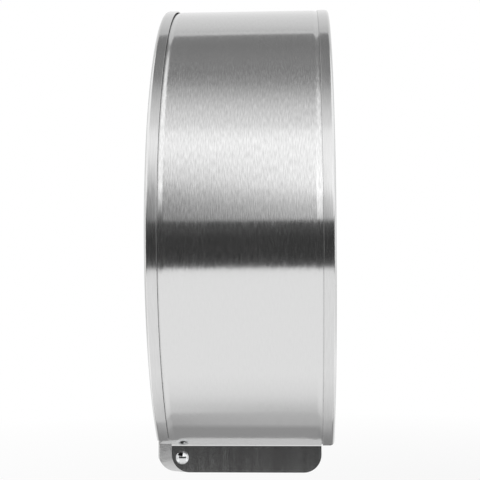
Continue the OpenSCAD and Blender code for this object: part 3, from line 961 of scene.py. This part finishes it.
class DISPENSER_OT_hinge(bpy.types.Operator):
    """Build the domed hinge rivets and the nylon washers"""

    bl_idname = "dispenser.hinge"
    bl_label = "Hinge rivets and washers"

    def execute(self, context):
        sizes = context.scene.dispenser_hinge
        for side, name in ((-1, "left"), (1, "right")):
            node = "hinge_rivet_" + name
            low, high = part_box(node)
            tail_end, top = sorted((abs(low.x), abs(high.x)))
            shank, tail = sizes.shank / 2, sizes.tail / 2
            points = dome(sizes.head / 2, PANEL_FACE, top - PANEL_FACE, DOME_STEPS)
            points += [(shank, PANEL_FACE), (shank, tail_end + sizes.tail_height)]
            points += [(tail, tail_end + sizes.tail_height), (tail, tail_end + 0.3 * sizes.tail_height)]
            points += [(0.8 * tail, tail_end), (0.0, tail_end)]
            bm = bmesh.new()
            lathe(bm, points, (0, HINGE.y, HINGE.z), X_AXIS * side, TURNED_STEPS)
            put_piece(node + "_dome", bm, "chrome", [node], edge=0.1 * MM)
            washer = "hinge_washer_" + name
            dress_copy(washer, washer + "_ring", "nylon", edge=0.08 * MM)
        return {"FINISHED"}


class DISPENSER_OT_tear_strips(bpy.types.Operator):
    """Build the toothed tear strips inside the side panels"""

    bl_idname = "dispenser.tear_strips"
    bl_label = "Tear strips"

    def execute(self, context):
        for node in ("tear_strip_left", "tear_strip_right"):
            dress_copy(node, node + "_teeth", "plain_steel", edge=0.1 * MM)
        return {"FINISHED"}


class DISPENSER_OT_spindle(bpy.types.Operator):
    """Build the spindle's foot plate, its rivets and the turned post"""

    bl_idname = "dispenser.spindle"
    bl_label = "Spindle"

    def execute(self, context):
        dress_copy("spindle_flange", "spindle_foot_plate", "plain_steel", edge=0.25 * MM)
        dress_copy("spindle_rivets", "spindle_rivet_set", "turned_steel", edge=0.35 * MM, steps=3)
        dress_copy("spindle_post", "spindle_post_bar", "turned_steel", edge=0.4 * MM)
        return {"FINISHED"}


# the shallow groove in the front of the hub's ring
CAP_LIP = 3 * MM  # its inner side from the ring's bore
CAP_RIM = 1.5 * MM  # its outer side from the ring's edge
CAP_GROOVE = 0.5 * MM  # its depth, and the width of its sloped sides


class DISPENSER_OT_roll_hub(bpy.types.Operator):
    """Build the plastic hub, the ring in its end, its washer and its screw"""

    bl_idname = "dispenser.roll_hub"
    bl_label = "Roll hub"

    def execute(self, context):
        sizes = context.scene.dispenser_hub
        front, rear = HUB_LOW.y, HUB_HIGH.y
        bore, outer = sizes.bore / 2, sizes.sleeve / 2
        inner = bore + sizes.wall
        pocket = outer - sizes.wall
        flange = HUB_HIGH.x
        face, back = -sizes.flange_front, -sizes.flange_rear
        floor = (face + back) / 2
        bm = bmesh.new()
        points = [(bore, front), (inner, front), (inner, floor), (pocket, floor), (pocket, front)]
        points += [(outer, front), (outer, face), (flange, face), (flange, back), (inner, back)]
        points += [(inner, rear), (bore, rear)]
        lathe(bm, points, (0, 0, 0), Y_AXIS, HUB_STEPS, closed=True)
        put_piece("roll_hub_body", bm, "grey_plastic", ["roll_hub"], edge=sizes.rounding, steps=3)
        bm = bmesh.new()
        cap_front, cap_rear = CAP_LOW.y, CAP_HIGH.y
        groove_front, groove_in, groove_out = cap_front + CAP_GROOVE, inner + CAP_LIP, pocket - CAP_RIM
        points = [(inner, cap_front), (groove_in, cap_front), (groove_in + CAP_GROOVE, groove_front)]
        points += [(groove_out - CAP_GROOVE, groove_front), (groove_out, cap_front), (pocket, cap_front)]
        points += [(pocket, cap_rear), (inner, cap_rear)]
        lathe(bm, points, (0, 0, 0), Y_AXIS, HUB_STEPS, closed=True)
        put_piece("hub_cap_ring", bm, "grey_plastic", ["hub_cap"], edge=0.12 * MM)
        dress_copy("hub_washer", "hub_washer_disc", "turned_steel", edge=0.2 * MM)
        dress_copy("hub_screw", "hub_screw_head", "turned_steel", edge=0.25 * MM)
        return {"FINISHED"}


LOCK_SLOPE = 2 * MM  # the lock's face slopes off this far in from its edge
LOCK_DROP = 0.4 * MM  # by this much
LOCK_CHAMFER = 0.5 * MM  # its edge is broken over this width
LOCK_EDGE = 0.6 * MM  # and this depth
LOCK_NECK = 2 * MM  # the barrel is plain for this length behind the face
LOCK_RUNOUT = 0.5 * MM  # and its thread ends this far before the rear


class DISPENSER_OT_lock(bpy.types.Operator):
    """Build the key lock: barrel, plug, cam, nut, washer, screw and the strike on the band"""

    bl_idname = "dispenser.lock"
    bl_label = "Lock"

    def execute(self, context):
        sizes = context.scene.dispenser_lock
        self.barrel(sizes)
        self.plug(sizes)
        dress_copy("lock_cam", "lock_cam_arm", "plain_steel", edge=0.2 * MM)
        dress_copy("lock_cam_screw", "lock_cam_screw_head", "turned_steel", edge=0.3 * MM)
        dress_copy("lock_washer", "lock_washer_ring", "plain_steel", edge=0.12 * MM)
        dress_copy("lock_nut", "lock_nut_hexagon", "chrome", edge=0.4 * MM, steps=3)
        dress_copy("lock_strike", "lock_strike_bracket", "plain_steel", edge=0.2 * MM)
        return {"FINISHED"}

    def barrel(self, sizes):
        """The fixed body: a domed face ring, then a threaded barrel behind the cover."""
        front, rear = BARREL_LOW.y, BARREL_HIGH.y
        seat = front + sizes.flange_height
        flange, body = sizes.flange / 2, sizes.barrel / 2
        wide, bore = sizes.plug_face / 2 + sizes.play, sizes.plug / 2 + sizes.play
        depth = front + sizes.plug_face_depth
        points = [(bore, rear), (bore, depth), (wide, depth), (wide, front), (flange - LOCK_SLOPE, front)]
        points += [(flange - LOCK_CHAMFER, front + LOCK_DROP), (flange, front + LOCK_DROP + LOCK_EDGE)]
        points += [(flange, seat), (body, seat)]
        y = seat + LOCK_NECK
        points.append((body, y))
        while y + sizes.pitch < rear - LOCK_RUNOUT:
            points.append((body - sizes.thread_depth, y + sizes.pitch / 2))
            points.append((body, y + sizes.pitch))
            y += sizes.pitch
        points.append((body - sizes.thread_depth, rear))
        bm = bmesh.new()
        lathe(bm, points, LOCK, Y_AXIS, TURNED_STEPS, closed=True)
        put_piece("lock_barrel_ring", bm, "chrome", ["lock_barrel"])

    def plug(self, sizes):
        """The turning plug: a face with a key slot, and a square end for the cam."""
        face, rear = PLUG_LOW.y, PLUG_HIGH.y
        shoulder = BARREL_LOW.y + sizes.plug_face_depth - 0.1 * MM
        square_y = rear - sizes.square_depth
        rounding = 0.25 * MM
        wide, body = sizes.plug_face / 2, sizes.plug / 2
        bm = bmesh.new()
        points = [(wide - rounding, face), (wide, face + rounding), (wide, shoulder), (body, shoulder)]
        points += [(body, square_y), (0, square_y)]
        lathe(bm, points, LOCK, Y_AXIS, TURNED_STEPS)
        bmesh.ops.remove_doubles(bm, verts=bm.verts, dist=MERGE)
        made = bmesh.ops.create_grid(bm, x_segments=1, y_segments=1, size=0.5)["verts"]
        bmesh.ops.scale(bm, verts=made, vec=(sizes.slot_width, sizes.slot_length, 1))
        bmesh.ops.rotate(bm, verts=made, cent=(0, 0, 0), matrix=Matrix.Rotation(QUARTER_TURN, 3, "X"))
        bmesh.ops.translate(bm, verts=made, vec=(0, face, LOCK.z))
        slot_face = list(made[0].link_faces)
        walls = bmesh.ops.extrude_face_region(bm, geom=slot_face)["geom"]
        floor = [item for item in walls if isinstance(item, bmesh.types.BMVert)]
        bmesh.ops.translate(bm, verts=floor, vec=(0, sizes.slot_depth, 0))
        bmesh.ops.delete(bm, geom=[f for f in slot_face if f.is_valid], context="FACES_ONLY")
        fill_flat(bm, 1, face, -Y_AXIS)
        made = bmesh.ops.create_cube(bm, size=1)["verts"]
        bmesh.ops.scale(bm, verts=made, vec=(sizes.square, sizes.square_depth + rounding, sizes.square))
        middle = square_y + (sizes.square_depth - rounding) / 2
        bmesh.ops.translate(bm, verts=made, vec=(0, middle, LOCK.z))
        put_piece("lock_plug_face", bm, "chrome", ["lock_plug"])


class DISPENSER_OT_level_window(bpy.types.Operator):
    """Build the clear pane behind the level slot and its retainer"""

    bl_idname = "dispenser.level_window"
    bl_label = "Level window"

    def execute(self, context):
        dress_copy("window_pane", "window_pane_clear", "clear_pane", edge=0.1 * MM)
        dress_copy("window_retainer", "window_retainer_ring", "grey_plastic", edge=0.3 * MM, steps=3)
        return {"FINISHED"}


# --- studio ---------------------------------------------------------------------------------


CURVE_TOP = 2  # brightnesses are halved in the curves, which end at 1

# brightness against elevation in degrees, on the side of the camera and on the far side
NEAR_SIDE = [
    *((-90, 0.62), (-80, 0.8), (-72, 0.91), (-63, 0.98), (-11.5, 0.98), (-10.7, 0.08), (-6, 0.05)),
    *((3, 0.05), (6, 0.075), (9.9, 0.08), (10.6, 0.46), (16, 0.53), (20, 0.64), (25, 0.85)),
    *((29, 0.98), (38, 1.1), (47, 1.17), (52, 1.08), (56, 0.9), (65, 0.74), (74, 0.5)),
    *((80, 0.35), (90, 0.26)),
]
FAR_SIDE = [
    *((-90, 0.62), (-83, 0.54), (-78, 0.36), (-72, 0.3), (-66, 0.3), (-54, 0.4), (-46, 0.8)),
    *((-36, 0.95), (-10, 0.95), (0, 0.88), (26, 0.88), (34, 0.82), (43, 0.77), (51, 0.72)),
    *((57, 0.64), (57.8, 0.55), (58.5, 0.7), (60.8, 0.72), (61.5, 0.25), (72, 0.23), (90, 0.28)),
]
# straight in front and straight behind
AHEAD = [(-90, 0.4), (-45, 0.55), (-20, 0.75), (-5, 0.92), (12, 1.0), (30, 0.9), (60, 0.5), (90, 0.28)]
# how strongly the light above the dark band grows from the front to the wall side
SIDE_LIGHT = [(-90, 0), (10, 0), (10.6, 1), (24, 1), (32, 0.5), (42, 0.1), (60, 0), (90, 0)]
# how far the near side reaches round the part low down; half of it is the shift of the heading
LOW_SHIFT = [(-90, 1.7), (-66, 1.7), (-50, 0), (90, 0)]
# where the soft boxes at the front and wall side stand, near the camera and away from it
NEAR_BOX = [(-90, 0), (12, 0), (24, 1), (90, 1)]
FAR_BOX = [(-90, 0), (-60, 0), (-46, 1), (90, 1)]
BOX_LIGHT = 1.2

# between these shares of a direction, one part of the tent passes into the next
NEAR_EDGE = (0.55, 0.62)  # X of the heading: far side to near side
BOX_EDGE = (0.28, 0.34)  # Y of the ray, either way: sides to soft boxes
BEHIND_EDGE = (-0.45, -0.2)  # X of the ray: no soft boxes to soft boxes
FRONT_EDGE = (0.84, 0.94)  # Y of the ray, either way: sides to front and back
# the growth of SIDE_LIGHT over Y of the ray
GROWTH_REACH = (-0.16, 0.17)
GROWTH = (-1.2, 1.8)

EVEN_LIGHT = 0.55  # what matt surfaces get from all sides
FLOOR_FADE = (0.6, 1.6)  # the floor turns from its shadowed tone to pure white over this distance
FLOOR_WHITE = 0.62  # how white it is under the part

# the flags that keep the upper half of each rivet's dome dark between two lights
FLAG_SIZE = (55 * MM, 44 * MM, 1)
FLAG_RISE = 7 * MM
FLAG_SHIFT = -21 * MM
FLAG_REACH = 16 * MM  # they are there for rays shorter than this, so that the open cover lacks them
FLAG_BLACK = 0.01

# name, place in metres, width in metres and power in watts
LAMPS = (("key_lamp", (0.9, -1.1, 1.3), 0.9, 14.0), ("fill_lamp", (-1.0, -0.9, 0.8), 1.1, 6.0))


def shape_curve(mapping, points):
    """Leads a curve from the elevation, 0 straight down to 1 straight up, to half a brightness."""
    curve = mapping.curves[0]
    mapping.use_clip = False
    while len(curve.points) < len(points):
        curve.points.new(0.5, 0.5)
    for point, (degrees, brightness) in zip(curve.points, points):
        point.location = (0.5 + degrees / 180, brightness / CURVE_TOP)
        point.handle_type = "VECTOR"
    mapping.update()


def seen_directly(tree, path):
    """1 for rays that come from the camera, also through the clear pane, and 0 for others."""
    rays = {0: path.outputs["Is Camera Ray"], 1: path.outputs["Is Transmission Ray"]}
    return add_node(tree, "Math", links=rays, operation="MAXIMUM")


class DISPENSER_OT_studio(bpy.types.Operator):
    """Build the floor, the flags, the world, the lamps and the camera"""

    bl_idname = "dispenser.studio"
    bl_label = "Studio"

    def execute(self, context):
        scene = context.scene
        sizes = scene.dispenser_studio
        self.floor(scene, sizes)
        self.flags(scene)
        self.world(scene)
        self.lamps(scene)
        self.camera(scene, sizes)
        scene.view_settings.view_transform = "Standard"
        return {"FINISHED"}

    def stage_piece(self, scene, name, bm, finish):
        """Makes a mesh into an object of the studio, which is no part of the dispenser."""
        mesh = bpy.data.meshes.new(name)
        bm.to_mesh(mesh)
        bm.free()
        mesh.materials.append(finish)
        thing = bpy.data.objects.new(name, mesh)
        scene.collection.objects.link(thing)
        return thing

    def floor(self, scene, sizes):
        """A round pale floor below the part, which is hung on a wall that isn't shown."""
        bm = bmesh.new()
        place = Matrix.Translation((0, 0, -sizes.floor_drop))
        radius = sizes.floor_radius
        bmesh.ops.create_circle(bm, cap_ends=True, radius=radius, segments=HUB_STEPS, matrix=place)
        finish = self.floor_finish(scene.dispenser_finishes.floor)
        floor = self.stage_piece(scene, "studio_floor", bm, finish)

    def flags(self, scene):
        """Small black flags above the rivets, seen by short mirrored rays from below alone."""
        finish = self.flag_finish()
        for way, name in ((-1, "studio_flag_left"), (1, "studio_flag_right")):
            bm = bmesh.new()
            made = bmesh.ops.create_grid(bm, x_segments=1, y_segments=1, size=0.5)["verts"]
            bmesh.ops.scale(bm, verts=made, vec=FLAG_SIZE)
            place = (way * (RIVET_HIGH.x + FLAG_SIZE[0] / 2), HINGE.y + FLAG_SHIFT, HINGE.z + FLAG_RISE)
            bmesh.ops.translate(bm, verts=made, vec=place)
            flag = self.stage_piece(scene, name, bm, finish)
            flag.visible_camera = False
            flag.visible_diffuse = False
            flag.visible_shadow = False
            flag.visible_transmission = False

    def flag_finish(self):
        """Black cloth from below and near by, and nothing to all other rays."""
        material, tree, surface = new_material("studio_flag")
        path = add_node(tree, "LightPath")
        near = add_node(
            tree, "Math", {1: FLAG_REACH}, {0: path.outputs["Ray Length"]}, operation="LESS_THAN"
        )
        below = add_node(tree, "NewGeometry").outputs["Backfacing"]
        seen = add_node(tree, "Math", links={0: below, 1: near}, operation="MULTIPLY")
        clear = add_node(tree, "BsdfTransparent")
        black = add_node(tree, "BsdfDiffuse", {"Color": (FLAG_BLACK, FLAG_BLACK, FLAG_BLACK, 1)})
        shown = add_node(tree, "MixShader", links={0: seen, 1: clear, 2: black})
        tree.links.new(shown.outputs[0], surface)
        return material

    def floor_finish(self, colour):
        """Pale matt floor: white from above, with the object's shadow, and clear from below."""
        material, tree, surface = new_material("studio_floor")
        place = add_node(tree, "TexCoord").outputs["Object"]
        distance = add_node(tree, "VectorMath", links={0: place}, operation="LENGTH")
        values = span(*FLOOR_FADE, FLOOR_WHITE, 1.0)
        fade = add_node(tree, "MapRange", values, {"Value": distance.outputs["Value"]})
        path = add_node(tree, "LightPath")
        seen = seen_directly(tree, path)
        share = add_node(tree, "Math", links={0: seen, 1: fade}, operation="MULTIPLY")
        matt = add_node(tree, "BsdfDiffuse", {"Color": linear(colour)})
        white = add_node(tree, "Emission", {"Color": WHITE, "Strength": 1.0})
        clear = add_node(tree, "BsdfTransparent")
        pale = add_node(tree, "MixShader", links={0: share, 1: matt, 2: white})
        mirrored = path.outputs["Is Glossy Ray"]
        shown = add_node(tree, "MixShader", links={0: mirrored, 1: pale, 2: clear})
        below = add_node(tree, "NewGeometry").outputs["Backfacing"]
        above = add_node(tree, "MixShader", links={0: below, 1: shown, 2: clear})
        tree.links.new(above.outputs[0], surface)
        return material

    def world(self, scene):
        """White to the camera, even for matt surfaces, and a tent of soft boxes for the metal."""
        world = bpy.data.worlds.new("studio")
        world.use_nodes = True
        tree = world.node_tree
        tree.nodes.clear()
        bright = add_node(tree, "Math", {1: CURVE_TOP}, {0: self.tent(tree)}, operation="MULTIPLY")
        mirrored = add_node(tree, "Background", {"Color": WHITE}, {"Strength": bright})
        even, white = (
            add_node(tree, "Background", {"Color": WHITE, "Strength": strength})
            for strength in (EVEN_LIGHT, 1.0)
        )
        path = add_node(tree, "LightPath")
        glossy, direct = path.outputs["Is Glossy Ray"], seen_directly(tree, path)
        lit = add_node(tree, "MixShader", links={0: glossy, 1: even, 2: mirrored})
        final = add_node(tree, "MixShader", links={0: direct, 1: lit, 2: white})
        add_node(tree, "OutputWorld", links={"Surface": final})
        # lamp samples can't tell a metal's rays from others, so the tent is met by bounced rays alone
        world.cycles.sampling_method = "NONE"
        scene.world = world

    def tent(self, tree):
        """Half the brightness that a mirrored ray finds in its direction."""
        place = add_node(tree, "TexCoord").outputs["Generated"]
        ray = add_node(tree, "SeparateXYZ", links={0: place})
        rise = add_node(tree, "Math", links={0: ray.outputs["Z"]}, operation="ARCSINE")
        level = add_node(tree, "MapRange", span(-QUARTER_TURN, QUARTER_TURN), {"Value": rise})
        outlines = (NEAR_SIDE, FAR_SIDE, AHEAD, SIDE_LIGHT, LOW_SHIFT, NEAR_BOX, FAR_BOX)
        curves = [add_node(tree, "FloatCurve", links={"Value": level}) for points in outlines]
        for curve, points in zip(curves, outlines):
            shape_curve(curve.mapping, points)
        near, far, ahead, side_light, shift, near_box, far_box = curves
        flat = add_node(tree, "VectorMath", {1: (1, 1, 0)}, {0: place}, operation="MULTIPLY")
        heading = add_node(tree, "VectorMath", links={0: flat}, operation="NORMALIZE")
        aim = add_node(tree, "SeparateXYZ", links={0: heading})
        facing = add_node(tree, "Math", links={0: aim.outputs["X"], 1: shift}, operation="ADD")
        width = add_node(tree, "Math", links={0: ray.outputs["Y"]}, operation="ABSOLUTE")
        across = ray.outputs["X"]
        edges = ((facing, NEAR_EDGE), (width, BOX_EDGE), (width, FRONT_EDGE), (across, BEHIND_EDGE))
        to_near, to_box, to_front, not_behind = (
            add_node(tree, "MapRange", span(*edge), {"Value": source}, interpolation_type="SMOOTHSTEP")
            for source, edge in edges
        )
        growth = add_node(tree, "MapRange", span(*GROWTH_REACH, *GROWTH), {"Value": ray.outputs["Y"]})
        gain = add_node(tree, "Math", {2: 1.0}, {0: growth, 1: side_light}, operation="MULTIPLY_ADD")
        near_light = add_node(tree, "Math", links={0: near, 1: gain}, operation="MULTIPLY")
        # in a mix node, sockets 2 and 3 are the two values
        sides, box_height = (
            add_node(tree, "Mix", links={0: to_near, 2: away, 3: close}, data_type="FLOAT")
            for away, close in ((far, near_light), (far_box, near_box))
        )
        box_share = add_node(tree, "Math", links={0: box_height, 1: to_box}, operation="MULTIPLY")
        share = add_node(tree, "Math", {1: CURVE_TOP}, {0: box_share}, operation="MULTIPLY")
        shown = add_node(tree, "Math", links={0: share, 1: not_behind}, operation="MULTIPLY")
        box_light = {3: BOX_LIGHT / CURVE_TOP}
        boxed = add_node(tree, "Mix", box_light, {0: shown, 2: sides}, data_type="FLOAT")
        return add_node(tree, "Mix", links={0: to_front, 2: boxed, 3: ahead}, data_type="FLOAT")

    def lamps(self, scene):
        """Two large soft lamps that give matt surfaces their form and the floor its shadow."""
        for name, place, size, power in LAMPS:
            light = bpy.data.lights.new(name, "AREA")
            light.size = size
            light.energy = power
            lamp = bpy.data.objects.new(name, light)
            lamp.location = place
            lamp.rotation_euler = (-Vector(place)).to_track_quat("-Z", "Y").to_euler()
            lamp.visible_glossy = False
            scene.collection.objects.link(lamp)

    def camera(self, scene, sizes):
        """A level camera at the drum's side."""
        data = bpy.data.cameras.new("studio_camera")
        data.sensor_width = 36.0
        data.lens = sizes.focal
        data.clip_start = 0.01
        camera = bpy.data.objects.new("studio_camera", data)
        camera.location = (sizes.distance, -sizes.offset, 0)
        ahead = Vector((-math.cos(sizes.yaw), -math.sin(sizes.yaw), math.sin(sizes.pitch)))
        turned = ahead.to_track_quat("-Z", "Y").to_matrix() @ Matrix.Rotation(sizes.roll, 3, "Z")
        camera.rotation_euler = turned.to_euler()
        scene.collection.objects.link(camera)
        scene.camera = camera


# --- add-on ---------------------------------------------------------------------------------


OPERATORS = (
    DISPENSER_OT_drum_band,
    DISPENSER_OT_back_plate,
    DISPENSER_OT_front_cover,
    DISPENSER_OT_hinge,
    DISPENSER_OT_tear_strips,
    DISPENSER_OT_spindle,
    DISPENSER_OT_roll_hub,
    DISPENSER_OT_lock,
    DISPENSER_OT_level_window,
    DISPENSER_OT_studio,
)
GROUPS = {
    "dispenser_sheet": SheetSizes,
    "dispenser_cover": CoverSizes,
    "dispenser_back": BackSizes,
    "dispenser_hinge": HingeSizes,
    "dispenser_hub": HubSizes,
    "dispenser_lock": LockSizes,
    "dispenser_finishes": Finishes,
    "dispenser_studio": StudioSizes,
}


class DISPENSER_PT_sidebar(bpy.types.Panel):
    """The dispenser's pieces, sizes and finishes"""

    bl_label = "Jumbo roll dispenser"
    bl_idname = "DISPENSER_PT_sidebar"
    bl_space_type = "VIEW_3D"
    bl_region_type = "UI"
    bl_category = "Dispenser"

    def draw(self, context):
        for operator in OPERATORS:
            self.layout.operator(operator.bl_idname)
        for name in GROUPS:
            box = self.layout.box()
            box.label(text=name.replace("dispenser_", "").capitalize())
            group = getattr(context.scene, name)
            for item in group.bl_rna.properties:
                if item.identifier not in {"rna_type", "name"}:
                    box.prop(group, item.identifier)


def register():
    """Registers the groups, the operators and the panel."""
    for name, group in GROUPS.items():
        bpy.utils.register_class(group)
        setattr(bpy.types.Scene, name, bpy.props.PointerProperty(type=group))
    for operator in OPERATORS:
        bpy.utils.register_class(operator)
    bpy.utils.register_class(DISPENSER_PT_sidebar)


def unregister():
    """Takes everything back out."""
    bpy.utils.unregister_class(DISPENSER_PT_sidebar)
    for operator in reversed(OPERATORS):
        bpy.utils.unregister_class(operator)
    for name, group in reversed(list(GROUPS.items())):
        delattr(bpy.types.Scene, name)
        bpy.utils.unregister_class(group)


def main():
    """Builds every piece and the studio."""
    register()
    for operator in OPERATORS:
        group, name = operator.bl_idname.split(".")
        getattr(getattr(bpy.ops, group), name)()


if __name__ == "__main__":
    main()
